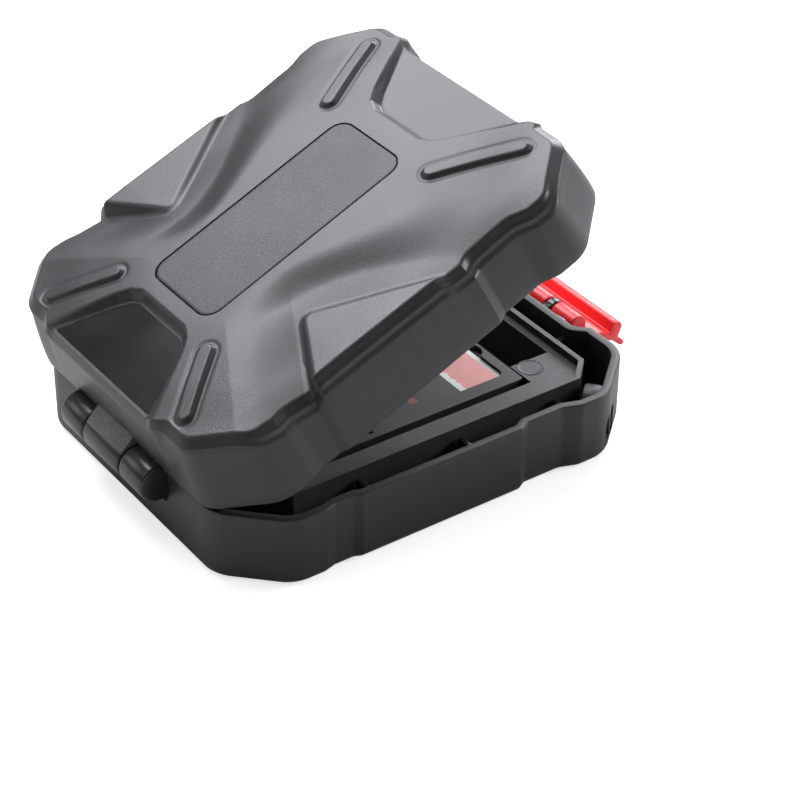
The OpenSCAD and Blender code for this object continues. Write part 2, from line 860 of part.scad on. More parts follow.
// The latch is drawn shut and then swung open about its pin.
module latch() {
    x1 = 0.5 + latch_plate;
    color(red)
    translate([latch_x, 0, latch_z])
        rotate([0, latch_open, 0])
            difference() {
                union() {
                    // Plate above the base lugs
                    pulled_y(-latch_half, latch_half, [
                        [0.5, latch_knuckle_r + 0.4],
                        [x1, latch_knuckle_r + 0.4],
                        [x1, hook_reach + hook_thickness - 0.8],
                        [x1 - 0.8, hook_reach + hook_thickness],
                        [0.5, hook_reach + hook_thickness]]);
                    // Hook that reaches over the catch bar
                    pulled_y(-latch_half, latch_half, [
                        [-1.9, hook_reach],
                        [1, hook_reach],
                        [1, hook_reach + hook_thickness],
                        [-0.9, hook_reach + hook_thickness],
                        [-1.9, hook_reach + hook_thickness - 1.3]]);
                    // Finger tab
                    pulled_y(1.2 - latch_half, latch_half - 1.2, [
                        [x1 - 1.6, hook_reach + hook_thickness - 1],
                        [x1, hook_reach + hook_thickness - 1.6],
                        [x1 + 1.8, hook_reach + 7],
                        [x1 + 1.4, hook_reach + 7.6],
                        [x1 + 0.4, hook_reach + 7.4]]);
                    // Knuckles
                    bar_y(0, 0, latch_knuckle_r, -latch_mid_half, latch_mid_half);
                    pulled_y(-latch_mid_half, latch_mid_half, [
                        [-0.6, 0],
                        [latch_knuckle_r, 0],
                        [x1, latch_knuckle_r + 1],
                        [0.5, latch_knuckle_r + 1]]);
                    both_sides() {
                        bar_y(0, 0, latch_knuckle_r, outer_in, latch_outer_end);
                        pulled_y(outer_in, latch_outer_end, [
                            [-0.6, 0],
                            [latch_knuckle_r, 0],
                            [x1, latch_knuckle_r + 1],
                            [0.5, latch_knuckle_r + 1]]);
                    }
                }
                bar_y(0, 0, latch_pin_r + pin_play, -latch_outer_end - 1, latch_outer_end + 1);
            }
}

module latch_pin() {
    color(steel)
    bar_y(latch_x, latch_z, latch_pin_r, -latch_outer_end + 0.3, latch_outer_end - 0.3);
}

base_shell();
base_tray();
card_holder();
sd_card();
lid_shell();
label_plate();
hinge_panel();
latch_panel();
hinge_pin();
latch();
latch_pin();
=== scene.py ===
import math
import bpy
import numpy as np
from mathutils import Matrix, Vector


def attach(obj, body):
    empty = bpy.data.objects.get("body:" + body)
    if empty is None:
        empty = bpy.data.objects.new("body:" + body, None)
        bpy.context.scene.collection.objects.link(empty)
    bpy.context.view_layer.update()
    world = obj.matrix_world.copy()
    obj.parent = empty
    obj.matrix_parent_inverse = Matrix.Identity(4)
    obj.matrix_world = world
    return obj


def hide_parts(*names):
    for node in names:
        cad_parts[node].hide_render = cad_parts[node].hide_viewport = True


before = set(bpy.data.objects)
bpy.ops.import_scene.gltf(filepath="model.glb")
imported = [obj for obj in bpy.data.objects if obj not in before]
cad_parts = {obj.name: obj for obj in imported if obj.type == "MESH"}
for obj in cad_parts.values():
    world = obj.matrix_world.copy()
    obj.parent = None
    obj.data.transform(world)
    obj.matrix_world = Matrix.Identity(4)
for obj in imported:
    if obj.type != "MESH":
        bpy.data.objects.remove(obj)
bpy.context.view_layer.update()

# Lengths are in mm, in the frame of the CAD; add_mesh turns them into metres.
MM = 0.001
AJAR = math.radians(23.7)          # how far the lid stands open at rest
LATCH_SWUNG = math.radians(112)    # how far the latch has swung from shut at rest
PIN_X, PIN_Z = -57.1, 16.1         # hinge pin
LATCH_X, LATCH_Z = 58.9, 16.0      # latch pin
BASE_H = 18.0                      # top of the base
LID_Z, LID_TOP = 18.3, 39.6        # rim and roof of the shut lid
LONG_STEP = 50                     # sampling step that adds no points on the straights of a bar


# Camera, fitted to the photograph
def make_camera():
    elevation, azimuth, roll = math.radians(34.54), math.radians(-35.75), math.radians(0.74)
    aside, above, away, scale = 15.29, 4.59, 509.22, 1.16
    focal, centre, image, sensor = 2469.76, (404.04, 397.71), 800, 36
    level = np.array([math.cos(azimuth), math.sin(azimuth), 0.0])
    back = np.array([math.sin(azimuth) * math.cos(elevation),
                     -math.cos(azimuth) * math.cos(elevation), math.sin(elevation)])
    upright = np.cross(back, level)
    right = math.cos(roll) * level + math.sin(roll) * upright
    up = -math.sin(roll) * level + math.cos(roll) * upright
    pos = (aside * right + above * up + away * back) * scale * MM
    m = Matrix.Identity(4)
    for i in range(3):
        m[i][0], m[i][1], m[i][2], m[i][3] = right[i], up[i], back[i], pos[i]
    cam = bpy.data.objects.new("camera", bpy.data.cameras.new("camera"))
    bpy.context.collection.objects.link(cam)
    cam.matrix_world = m
    cam.data.sensor_width = sensor
    cam.data.lens = focal / image * sensor
    cam.data.shift_x = (image / 2 - centre[0]) / image
    cam.data.shift_y = (centre[1] - image / 2) / image
    cam.data.clip_start, cam.data.clip_end = 0.02, 20
    bpy.context.scene.camera = cam


make_camera()


# Materials
def new_material(name):
    m = bpy.data.materials.new(name)
    m.use_nodes = True
    return m, m.node_tree, m.node_tree.nodes["Principled BSDF"]


def coords(tree):
    return tree.nodes.new("ShaderNodeTexCoord").outputs["Object"]


def noise(tree, scale, detail=3, rough=0.55):
    n = tree.nodes.new("ShaderNodeTexNoise")
    n.inputs["Scale"].default_value = scale
    n.inputs["Detail"].default_value = detail
    n.inputs["Roughness"].default_value = rough
    tree.links.new(coords(tree), n.inputs["Vector"])
    return n.outputs["Fac"]


def span(tree, value, lo, hi, a=0.0, b=1.0):
    n = tree.nodes.new("ShaderNodeMapRange")
    n.inputs["From Min"].default_value = lo
    n.inputs["From Max"].default_value = hi
    n.inputs["To Min"].default_value = a
    n.inputs["To Max"].default_value = b
    tree.links.new(value, n.inputs["Value"])
    return n.outputs["Result"]


def mix_colour(tree, fac, a, b):
    n = tree.nodes.new("ShaderNodeMix")
    n.data_type = "RGBA"
    tree.links.new(fac, n.inputs[0])
    for sock, v in ((n.inputs[6], a), (n.inputs[7], b)):
        if isinstance(v, tuple):
            sock.default_value = (*v, 1)
        else:
            tree.links.new(v, sock)
    return n.outputs[2]


def multiply(tree, a, b):
    n = tree.nodes.new("ShaderNodeMath")
    n.operation = "MULTIPLY"
    tree.links.new(a, n.inputs[0])
    tree.links.new(b, n.inputs[1])
    return n.outputs[0]


def bump(tree, bsdf, height, distance):
    n = tree.nodes.new("ShaderNodeBump")
    n.inputs["Strength"].default_value = 1.0
    n.inputs["Distance"].default_value = distance
    tree.links.new(height, n.inputs["Height"])
    tree.links.new(n.outputs["Normal"], bsdf.inputs["Normal"])


CLOUDS = 45                        # scale of the broad unevenness of a moulding
CLOUD_LO, CLOUD_HI = 0.3, 0.7


def moulded(name, dark, light, rough, grain, depth, specular=0.5, speckle=0.0):
    """Moulded plastic: cloudy colour and roughness, a fine grain, and specks where asked for."""
    m, t, b = new_material(name)
    cloud = noise(t, CLOUDS, 4)
    fine = noise(t, grain, 2, 0.6)
    colour = mix_colour(t, span(t, cloud, CLOUD_LO, CLOUD_HI), dark, light)
    if speckle:
        specks = tuple(c + speckle for c in dark)
        colour = mix_colour(t, span(t, fine, 0.45, 0.75), colour, specks)
    t.links.new(colour, b.inputs["Base Color"])
    t.links.new(span(t, cloud, CLOUD_LO, CLOUD_HI, *rough), b.inputs["Roughness"])
    b.inputs["Specular IOR Level"].default_value = specular
    bump(t, b, fine, depth)
    return m


lid_plastic = moulded("lid_plastic", (0.020, 0.020, 0.022), (0.026, 0.026, 0.028),
                      (0.36, 0.42), grain=2600, depth=0.00004, speckle=0.015)
strap_plastic = moulded("strap_plastic", (0.060, 0.060, 0.063), (0.080, 0.080, 0.083),
                        (0.45, 0.52), grain=2600, depth=0.00006, specular=0.55, speckle=0.10)
shell_plastic = moulded("shell_plastic", (0.018, 0.018, 0.020), (0.024, 0.024, 0.026),
                        (0.40, 0.48), grain=2600, depth=0.00003)
tray_plastic = moulded("tray_plastic", (0.032, 0.032, 0.034), (0.045, 0.045, 0.047),
                       (0.42, 0.50), grain=2200, depth=0.00004, specular=0.45, speckle=0.04)
label_plastic = moulded("label_plastic", (0.016, 0.016, 0.018), (0.022, 0.022, 0.024),
                        (0.42, 0.50), grain=3000, depth=0.00005, specular=0.42, speckle=0.07)
panel_plastic = moulded("panel_plastic", (0.006, 0.006, 0.007), (0.010, 0.010, 0.011),
                        (0.16, 0.22), grain=3000, depth=0.000003, specular=0.36)
red_plastic = moulded("red_plastic", (0.80, 0.012, 0.016), (0.88, 0.022, 0.026),
                      (0.34, 0.42), grain=2600, depth=0.00002)
holder_plastic = moulded("holder_plastic", (0.018, 0.018, 0.020), (0.026, 0.026, 0.028),
                         (0.42, 0.50), grain=2400, depth=0.00003, specular=0.4, speckle=0.02)
barrel_plastic = moulded("barrel_plastic", (0.012, 0.012, 0.013), (0.018, 0.018, 0.020),
                         (0.22, 0.32), grain=1800, depth=0.00002)


def steel():
    m, t, b = new_material("pin_steel")
    n = noise(t, 900, 2)
    b.inputs["Metallic"].default_value = 1
    t.links.new(mix_colour(t, n, (0.45, 0.45, 0.47), (0.62, 0.62, 0.64)), b.inputs["Base Color"])
    t.links.new(span(t, n, 0, 1, 0.25, 0.4), b.inputs["Roughness"])
    return m


pin_steel = steel()


# Outlines: rows of (x, y, corner radius)
def unit(v):
    return v / np.linalg.norm(v)


def left(v):
    return np.array([-v[1], v[0]])


def area_of(points):
    """Twice the signed area of an outline, positive when it runs anticlockwise."""
    x, y = points[:, 0], points[:, 1]
    return np.sum(x * np.roll(y, -1) - np.roll(x, -1) * y)


def mirrored(points):
    """A row of points, followed back by its mirror image on the other long side."""
    return points + [(x, -y, *rest) for x, y, *rest in reversed(points)]


CASE = np.array(mirrored([
    (56.0, 21.6, 2.0), (59.1, 24.7, 2.0), (59.1, 36.4, 9.0), (44.64, 49.2, 9.5),
    (37.0, 49.2, 4.0), (32.5, 47.5, 4.0), (22.2, 47.5, 1.2), (19.8, 48.9, 1.2),
    (-23.8, 48.9, 1.2), (-25.6, 48.1, 1.2), (-30.5, 48.1, 2.0), (-33.5, 48.9, 2.0),
    (-41.6, 48.9, 9.5), (-54.9, 35.6, 9.5)]))


def turn_at(p, i):
    """Directions into and out of corner i."""
    a, b, c = p[i - 1][:2], p[i][:2], p[(i + 1) % len(p)][:2]
    return unit(b - a), unit(c - b)


def moved_in(points, d):
    """The corners of an outline after every side has moved in by d."""
    out = np.empty_like(points)
    for i in range(len(points)):
        u, v = turn_at(points, i)
        k = d / (1 + left(u) @ left(v))
        bend = -d if u[0] * v[1] - u[1] * v[0] > 0 else d
        out[i, :2] = points[i][:2] + k * (left(u) + left(v))
        out[i, 2] = max(0.25, points[i][2] + bend)
    return out


def ring(points, d, arc, step):
    """Closed outline moved in by d: arc points on each corner, one every step along the straights.

    The number of points is the same for every d, so that rings join one to one.
    """
    p = moved_in(points, d)
    n = len(p)
    arcs = []
    for i in range(n):
        u, v = turn_at(p, i)
        turn = math.acos(max(-1, min(1, u @ v)))
        side = 1 if u[0] * v[1] - u[1] * v[0] > 0 else -1
        r = p[i][2]
        start = p[i][:2] - u * r * math.tan(turn / 2)
        centre = start + side * r * left(u)
        q = start - centre
        arcs.append([centre + np.array([q[0] * math.cos(t) - q[1] * math.sin(t),
                                        q[0] * math.sin(t) + q[1] * math.cos(t)])
                     for t in side * turn * np.linspace(0, 1, arc)])
    out = []
    for i in range(n):
        out += arcs[i]
        m = max(1, int(np.linalg.norm(points[(i + 1) % n][:2] - points[i][:2]) / step))
        a, b = arcs[i][-1], arcs[(i + 1) % n][0]
        out += [a + (b - a) * k / m for k in range(1, m)]
    return np.array(out)


# Mesh tools
def ajar(p):
    """From the shut lid to the lid as it stands."""
    p = np.array(p, float)
    c, s = math.cos(AJAR), math.sin(AJAR)
    x, z = p[:, 0] - PIN_X, p[:, 2] - PIN_Z
    return np.stack([PIN_X + c * x - s * z, p[:, 1], PIN_Z + s * x + c * z], 1)


def shade(me, sharp):
    me.polygons.foreach_set("use_smooth", [True] * len(me.polygons))
    me.set_sharp_from_angle(angle=math.radians(sharp))


def add_mesh(name, verts, faces, material, body, sharp, lid=False, replaces=()):
    v = ajar(verts) if lid else np.array(verts, float)
    me = bpy.data.meshes.new(name)
    me.from_pydata((v * MM).tolist(), [], [list(map(int, f)) for f in faces])
    me.validate()
    me.update()
    o = bpy.data.objects.new(name, me)
    bpy.context.collection.objects.link(o)
    me.materials.append(material)
    shade(me, sharp)
    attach(o, body)
    if replaces:
        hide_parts(*replaces)
    return o


def bridge(n, a, b, flip=False):
    """Quads between two rings of n points that start at a and b."""
    i = np.arange(n)
    j = (i + 1) % n
    q = np.stack([a + i, a + j, b + j, b + i], 1)
    return q[:, ::-1] if flip else q


class Build:
    """Points and faces of one mesh, gathered ring by ring."""

    def __init__(self):
        self.v, self.f, self.n = [], [], 0

    def add(self, pts):
        self.v.append(np.asarray(pts, float))
        a = self.n
        self.n += len(pts)
        return a

    def loft(self, rings, flip=False):
        m = len(rings[0])
        at = [self.add(r) for r in rings]
        for a, b in zip(at, at[1:]):
            self.f += bridge(m, a, b, flip).tolist()
        return at

    def cap(self, a, m, flip=False):
        f = list(range(a, a + m))
        self.f.append(f[::-1] if flip else f)

    def solid(self, rings, flip=False):
        """Loft with both ends closed."""
        at = self.loft(rings, flip)
        self.cap(at[0], len(rings[0]), not flip)
        self.cap(at[-1], len(rings[0]), flip)

    def points(self):
        return np.concatenate(self.v)

    def make(self, name, material, body, sharp, lid=False, replaces=()):
        return add_mesh(name, self.points(), self.f, material, body, sharp, lid, replaces)


def flat_ring(xy, z):
    return np.column_stack([xy, np.full(len(xy), z) if np.isscalar(z) else z])


def smoothstep(a, b, x):
    t = np.clip((x - a) / (b - a), 0, 1)
    return t * t * (3 - 2 * t)


def ramp(u, soft):
    """0 on the left, u on the right, rounded over a width of soft."""
    return 0.5 * (u + np.sqrt(u * u + soft * soft))


def inside(poly, p, soft):
    """1 inside a convex polygon, 0 outside, over a band of width soft within its edge."""
    poly = np.array(poly, float)
    d = np.full(len(p), 1e9)
    q = poly if area_of(poly) > 0 else poly[::-1]
    for a, b in zip(q, np.roll(q, -1, 0)):
        d = np.minimum(d, (p - a) @ left(unit(b - a)))
    return smoothstep(0, soft, d)


# Lid
HINGE_RECESS = mirrored([(-60, -27.6), (-36.5, -14.6), (-33.6, -12.2), (-31.9, -9.0)])
LATCH_RECESS = mirrored([(62, -30.0), (39.6, -14.6), (36.6, -11.8), (35.1, -8.6)])
PAD = [(-33.5, -60), (-15.3, -28.6), (-14.0, -27.2), (-12.4, -26.7), (-10.6, -27.0), (40.0, -60)]
RIBS = (((-46.5, 28.9), (-33.4, 19.5)), ((48.6, 29.9), (30.6, 20.0)))
RIB_HALF, RIB_TALL = 2.35, 0.95
PAD_WALL = RECESS_WALL = 2.2
LABEL_X, LABEL_HALF_L, LABEL_HALF_W, LABEL_R = 0.4, 28.4, 12.2, 4.0
ROOF = 4.6                         # thickness of the roof
SIDE = 2.2                         # thickness of the walls


def valley_share(x, y):
    """Share of the valley's depth on the bank that leads into it from the hinge side."""
    bank = (-16 - (y - 28) * 0.62) - x
    t = np.clip((17 - bank) / 17.5, 0, 1)
    turn, soft = 0.35, 0.12
    steep = (ramp(t - turn, soft) - ramp(-turn, soft)) / (ramp(1 - turn, soft) - ramp(-turn, soft))
    return 0.6 * t + 0.4 * steep


def field(p):
    """Height of the lid's roof without the sunk panels, pads and ribs."""
    x, y = p[:, 0], np.abs(p[:, 1])
    z = np.full(len(p), LID_TOP)
    # the arms fall gently to the corners
    z -= 1.9 * smoothstep(26, 56, np.hypot(x * 0.86, y))
    # valleys on the long sides, past a slant that widens along the latch arm
    slant_top = LABEL_HALF_W + 0.7 + 0.42 * ramp(x + 8, 6)
    slant_foot = 21.5 + 0.13 * ramp(x + 10, 10) ** 1.5
    shallow = smoothstep(-14, 20, x)
    depth = (2.2 - 0.4 * shallow) * smoothstep(slant_top, slant_foot, y)
    depth += (1.2 - 0.8 * shallow) * smoothstep(20, 36, y)
    z -= valley_share(x, y) * depth
    # the long edges and the corners dip
    z -= 0.5 * smoothstep(38, 50, y)
    z -= 0.7 * smoothstep(46, 64, np.hypot(x, y))
    return z


def capsule(p, a, b):
    """Distance from the line between a and b."""
    a, b = np.array(a, float), np.array(b, float)
    t = np.clip(((p - a) @ (b - a)) / ((b - a) @ (b - a)), 0, 1)
    return np.linalg.norm(p - (a + t[:, None] * (b - a)), axis=1)


def recess_floor(p):
    return 36.9 - 0.028 * (np.abs(p[:, 0]) - 33)


def lid_top(p):
    """Height of the finished roof."""
    x, y = p[:, 0], np.abs(p[:, 1])
    z = field(p)
    pad = 37.4 + 0.012 * (y - 27) - 0.022 * np.clip(x + 15, 0, 60)
    z = z + (np.maximum(pad, z) - z) * inside(PAD, np.column_stack([x, -y]), PAD_WALL)
    for a, b in RIBS:
        c = capsule(np.column_stack([x, y]), a, b)
        groove = 0.18 * np.exp(-((c - 2.7) / 0.5) ** 2)
        z = z + RIB_TALL * smoothstep(RIB_HALF, RIB_HALF - 1, c) - groove
    for poly in (HINGE_RECESS, LATCH_RECESS):
        z = z + (recess_floor(p) - z) * inside(poly, p, RECESS_WALL)
    return z


# The wall's top edge, as (inset, drop below the roof): a step and a shoulder along the sides
STEP = ((1.78, 3.75), (1.95, 3.3), (2.25, 2.95), (2.7, 2.65), (3.2, 2.42), (3.65, 2.15), (3.95, 1.8),
        (4.15, 1.35), (4.35, 0.85), (4.55, 0.45), (4.8, 0.18), (5.2, 0))
EDGE_IN = STEP[-1][0]
WALL_TOP = 4.2                     # drop at which the wall ends and the edge begins
LEAN, CORNER_LEAN = 1.7, 2.6       # how far the wall leans in, along the sides and at the corners
CORNER_IN, CORNER_DROP = 2.9, 1.95  # inset and height of the plain rounding at the corners


def build_lid():
    b = Build()

    def outline(d):
        return ring(CASE, d, 12, 0.75)

    base = outline(0)
    n = len(base)
    x, y = base[:, 0], np.abs(base[:, 1])
    # the roof reaches nearly to the wall where the sunk panels run out
    narrow = 1 - 0.5 * smoothstep(27, 22, y) * (np.abs(x) > 45)
    corner = np.maximum(smoothstep(-34, -46, x), smoothstep(40, 51, x))

    def shoulder(d, d_corner):
        side, turned = (base + (outline(v) - base) * narrow[:, None] for v in (d, d_corner))
        return side + (turned - side) * corner[:, None]

    edge = shoulder(EDGE_IN, EDGE_IN)
    z_edge = lid_top(edge)
    # notch of the rim over the two outer hinge knuckles
    lift = np.where((x < -54) & (y > 7.6) & (y < 18.8), 2.5, 0.0)
    rings = [flat_ring(outline(d), LID_Z + z + lift) for d, z in ((0.35, 0), (0.1, 0.1), (0.02, 0.4))]
    low = LID_Z + 0.4 + lift
    for s in np.arange(1, 9) / 8:
        lean = s ** 1.3
        wall = shoulder(0.02 + LEAN * lean, 0.02 + CORNER_LEAN * lean)
        rings.append(flat_ring(wall, low + (z_edge - WALL_TOP - low) * s))
    for d, drop in STEP:
        u = (d - STEP[0][0]) / (EDGE_IN - STEP[0][0])
        fall = drop + (CORNER_DROP * (1 - u) ** 1.1 - drop) * corner
        rings.append(flat_ring(shoulder(d, CORNER_IN + (EDGE_IN - CORNER_IN) * u), z_edge - fall))
    # roof, in to the seat of the label
    half_l, half_w = LABEL_HALF_L + 0.3, LABEL_HALF_W + 0.3
    seat = np.array([(LABEL_X + i * half_l, j * half_w, LABEL_R + 0.3)
                     for i, j in ((1, -1), (1, 1), (-1, 1), (-1, -1))])
    dense = ring(seat, 0.0, 24, 0.3)
    angle = np.unwrap(np.arctan2(dense[:, 1] / half_w, (dense[:, 0] - LABEL_X) / half_l))
    angle_edge = np.arctan2(edge[:, 1] / 45.0, (edge[:, 0] - LABEL_X) / 52.0)
    angle_edge = (angle_edge - angle[0]) % (2 * math.pi) + angle[0]
    around = np.append(angle, angle[0] + 2 * math.pi)
    hole = np.column_stack([np.interp(angle_edge, around, np.append(dense[:, k], dense[0, k]))
                            for k in (0, 1)])
    roof_rings = 115
    for t in np.arange(1, roof_rings + 1) / roof_rings:
        q = edge * (1 - t) + hole * t
        rings.append(flat_ring(q, lid_top(q)))
    z_seat = rings[-1][:, 2]
    centre = np.array([LABEL_X, 0.0])
    for drop, shrink in ((0.12, 0.9985), (1.0, 0.998)):
        rings.append(np.column_stack([centre + (hole - centre) * shrink, z_seat - drop]))
    last = b.loft(rings)[-1]
    c = b.add([[LABEL_X, 0, LID_TOP - 1.05]])
    b.f += [[last + i, last + (i + 1) % n, c] for i in range(n)]
    # inside
    low = LID_Z + 0.3 + lift
    inner = [flat_ring(outline(0.35), LID_Z + lift), flat_ring(outline(SIDE - 0.3), LID_Z + lift),
             flat_ring(outline(SIDE), low)]
    rim = outline(6.4)
    z_rim = field(rim) - ROOF
    for s in np.arange(1, 5) / 4:
        inner.append(flat_ring(outline(SIDE + LEAN * s), low + (z_rim - 3 - low) * s))
    for a in np.radians(90 * np.arange(1, 6) / 5):
        inner.append(flat_ring(outline(SIDE + LEAN + 2.5 * (1 - math.cos(a))), z_rim - 3 + 3 * math.sin(a)))
    core = np.column_stack([np.clip(rim[:, 0], -24, 24), np.zeros(n)])
    for t in np.arange(1, 25) / 24:
        q = rim * (1 - t) + core * t
        inner.append(flat_ring(q, field(q) - ROOF))
    b.loft(inner, flip=True)
    b.make("lid_cover", lid_plastic, "lid", 50, lid=True, replaces=("lid_shell",))


build_lid()


# Other pieces of the lid
def prism_y(b, profile, y0, y1, bevel=0.25, arc=5):
    """Bar along Y from a profile of (x, z, rounding) with softened ends."""
    p = np.array(profile, float)
    if area_of(p) < 0:
        p = p[::-1]
    rows = []
    for y, d in ((y0, bevel), (y0 + bevel * 0.3, bevel * 0.3), (y0 + bevel, 0),
                 (y1 - bevel, 0), (y1 - bevel * 0.3, bevel * 0.3), (y1, bevel)):
        q = ring(p, d, arc, LONG_STEP)
        rows.append(np.column_stack([q[:, 0], np.full(len(q), y), q[:, 1]]))
    b.solid(rows, flip=True)


def circle(n):
    return np.linspace(0, 2 * math.pi, n, endpoint=False)


def turned_y(b, cx, cz, profile, n=48):
    """Body turned about an axis along Y from a profile of (y, radius)."""
    t = circle(n)
    b.solid([np.column_stack([cx + r * np.cos(t), np.full(n, y), cz + r * np.sin(t)])
             for y, r in profile], flip=True)


def knuckle_profile(y0, y1, r, e=0.45):
    out = [(y0, r - e), (y0 + 0.13 * e, r - 0.5 * e), (y0 + 0.5 * e, r - 0.13 * e), (y0 + e, r)]
    return out + [(y0 + y1 - y, q) for y, q in reversed(out)]


def build_label():
    b = Build()
    p = np.array([(LABEL_X + i * LABEL_HALF_L, j * LABEL_HALF_W, LABEL_R)
                  for i, j in ((1, -1), (1, 1), (-1, 1), (-1, -1))])
    b.solid([flat_ring(ring(p, d, 10, 2), LID_TOP - drop)
             for d, drop in ((0.05, 1.0), (0, 0.8), (0, 0.28), (0.09, 0.09), (0.28, 0), (0.8, 0), (5, 0))])
    b.make("label_face", label_plastic, "lid", 50, lid=True, replaces=("label_plate",))


def build_inlay(name, near_side, node):
    """Smooth panel that follows the slope of the recess."""
    b = Build()
    p = np.array(mirrored(near_side), float)
    if area_of(p) < 0:
        p = p[::-1]
    outline = ring(p, 0.0, 8, 0.8)
    mid = outline.mean(0)
    rows = [flat_ring(outline, recess_floor(outline) - 0.5)]
    for t in np.arange(0, 20) / 20:
        q = outline + (mid - outline) * t
        rows.append(flat_ring(q, recess_floor(q) + 0.03))
    b.solid(rows)
    b.make(name, panel_plastic, "lid", 50, lid=True, replaces=(node,))


build_label()
build_inlay("hinge_inlay", [(-51.6, -21.2, 1.0), (-39.0, -13.6, 3.5), (-34.4, -9.8, 4.0)], "hinge_panel")
build_inlay("latch_inlay", [(52.7, -20.6, 1.0), (42.0, -13.5, 3.5), (37.6, -9.5, 4.0)], "latch_panel")


HINGE_R, LID_KNUCKLE = 4.8, 7.8    # radius of the hinge knuckles, half length of the lid's
CHANNEL_FINS = (-20, 8, 35)        # x of the fins across the base's channels


def build_strap():
    b = Build()
    prism_y(b, [(PIN_X + 0.5, PIN_Z + 0.5, 0.3), (PIN_X - 2.6, PIN_Z + 4.25, 0.7),
                (PIN_X + 2.2, PIN_Z + 6.1, 0.5), (-53.6, LID_Z + 4.4, 0.3),
                (-53.6, LID_Z + 0.3, 0.3)], -LID_KNUCKLE, LID_KNUCKLE, 0.35)
    b.make("lid_strap", strap_plastic, "lid", 50, lid=True)


def build_catch_bar():
    b = Build()
    bar_x, bar_z = 58.95, 24.9
    prism_y(b, [(54.6, LID_Z + 2, 0.3), (55.8, LID_Z + 2, 0.4), (bar_x, LID_Z + 4.8, 0.5),
                (bar_x, bar_z, 0.6), (54.3, bar_z, 0.3)], -13.4, 13.4, 0.4)
    b.make("lid_catch_bar", lid_plastic, "lid", 50, lid=True)


def build_tongue():
    """The lip of the lid that sinks into the base, with gaps where the base has fins."""
    b = Build()
    outer, inner = ring(CASE, 2.6, 8, 1.0), ring(CASE, 4.0, 8, 1.0)
    x, y = outer[:, 0], np.abs(outer[:, 1])
    keep = ~((x < -44) & (y < 22.5))
    keep &= ~((x > 48) & (y > 18.5) & (y < 22.6))
    for c in CHANNEL_FINS:
        keep &= ~((y > 40) & (x > c - 1.6) & (x < c + 4.2))
    keep &= ~((x > 47.2) & (outer[:, 1] < -28.5))
    n = len(outer)
    first = int(np.argmin(keep))
    z0, z1 = LID_Z - 2.5, LID_Z + 3
    run = []
    for k in [(first + i) % n for i in range(n)] + [first]:
        if keep[k] and k != first:
            run.append(k)
            continue
        if len(run) > 3:
            rows = []
            for j in run:
                o, q = outer[j], inner[j]
                s = 0.25 * unit(q - o)
                rows.append(np.array([(*(o + s), z0), (*(q - s), z0), (*q, z0 + 0.4),
                                      (*q, z1), (*o, z1), (*o, z0 + 0.4)]))
            b.solid(rows)
        run = []
    b.make("lid_tongue", lid_plastic, "lid", 40, lid=True)


knuckle = Build()
turned_y(knuckle, PIN_X, PIN_Z, knuckle_profile(-LID_KNUCKLE, LID_KNUCKLE, HINGE_R))
knuckle.make("lid_knuckle", barrel_plastic, "lid", 50, lid=True)
build_strap()
build_catch_bar()
build_tongue()


# Base
def block(b, x0, x1, y0, y1, z0, z1, e=0.15):
    prism_y(b, [(x0, z0, e), (x1, z0, e), (x1, z1, e), (x0, z1, e)], y0, y1, e, 3)


def cut(o, cutters):
    """Take other bodies out of a mesh for good."""
    for c in cutters:
        mod = o.modifiers.new("cut", "BOOLEAN")
        mod.operation, mod.solver, mod.object = "DIFFERENCE", "EXACT", c
        dg = bpy.context.evaluated_depsgraph_get()
        me = bpy.data.meshes.new_from_object(o.evaluated_get(dg))
        o.modifiers.clear()
        o.data = me
    shade(o.data, 35)


def tool_mesh(b):
    """A body that only cuts others; whoever makes it removes it."""
    me = bpy.data.meshes.new("tool")
    me.from_pydata((b.points() * MM).tolist(), [], b.f)
    o = bpy.data.objects.new("tool", me)
    bpy.context.collection.objects.link(o)
    return o


# The cord slot crosses the near latch corner; SLOT_U runs along its wall, SLOT_V inward.
CORNER_A, CORNER_B = np.array([59.1, -36.4]), np.array([44.64, -49.2])
SLOT_MID = CORNER_A * 0.27 + CORNER_B * 0.73
SLOT_U = unit(CORNER_A - CORNER_B)
SLOT_V = left(SLOT_U)
SLOT_HALF, SLOT_LOW, SLOT_HIGH = 4.0, 2.1, 10.4


def slot_prism(b, outline, v0, v1, e=0.2):
    """Bar across the near latch corner: outline in (along the wall, z)."""
    c = Build()
    prism_y(c, outline, v0, v1, e, 6)
    p = c.points()
    at = b.add(np.column_stack([SLOT_MID + p[:, :1] * SLOT_U + p[:, 1:2] * SLOT_V, p[:, 2]]))
    b.f += [[at + i for i in f] for f in c.f]


def hull_rings():
    """Rings of the base's shell, from the foot over the rim to the inner floor."""
    foot, rim, lip = 2.4, 0.4, 0.3
    spots = [(foot + 1.2, 0.0)]
    for a in np.radians(90 * np.arange(0, 8) / 7):
        spots.append((foot * (1 - math.sin(a)), foot * (1 - math.cos(a))))
    spots += [(0, 7), (0, 11), (0, 15)]
    for a in np.radians(90 * np.arange(0, 5) / 4):
        spots.append((rim * (1 - math.cos(a)), BASE_H - rim + rim * math.sin(a)))
    for a in np.radians(90 * np.arange(0, 4) / 3):
        spots.append((SIDE - lip + lip * math.sin(a), BASE_H - lip + lip * math.cos(a)))
    spots += [(SIDE, 10), (SIDE, 5), (2.6, 2.2), (4.2, 2.0)]
    return [flat_ring(ring(CASE, d, 14, 0.9), float(z)) for d, z in spots]


